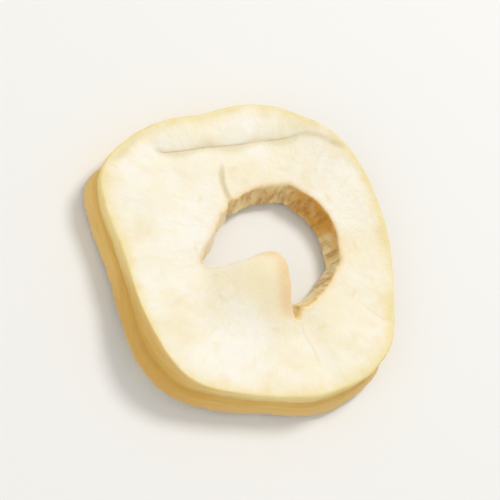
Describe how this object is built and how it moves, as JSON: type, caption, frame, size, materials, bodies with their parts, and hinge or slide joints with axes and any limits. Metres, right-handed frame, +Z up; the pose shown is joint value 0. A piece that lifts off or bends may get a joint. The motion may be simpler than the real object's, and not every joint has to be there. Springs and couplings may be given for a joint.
{
  "type": "dried apple ring",
  "caption": "Dried apple ring: a leathery cream cross slice with a cored hole off its middle, a wavy peeled rim and one lip curled up over the hole.",
  "frame": {"origin": "on the surface the ring lies on, under the middle of its outline", "axes": "+Z up, out of the shown face; +X and +Y across the ring, right and up as the picture shows the face"},
  "size_m": [0.0592, 0.0604, 0.0107],
  "materials": {
    "dried_flesh": "matte"
  },
  "bodies": {
    "root": {"apple_ring": "dried_flesh"}
  },
  "joints": []
}
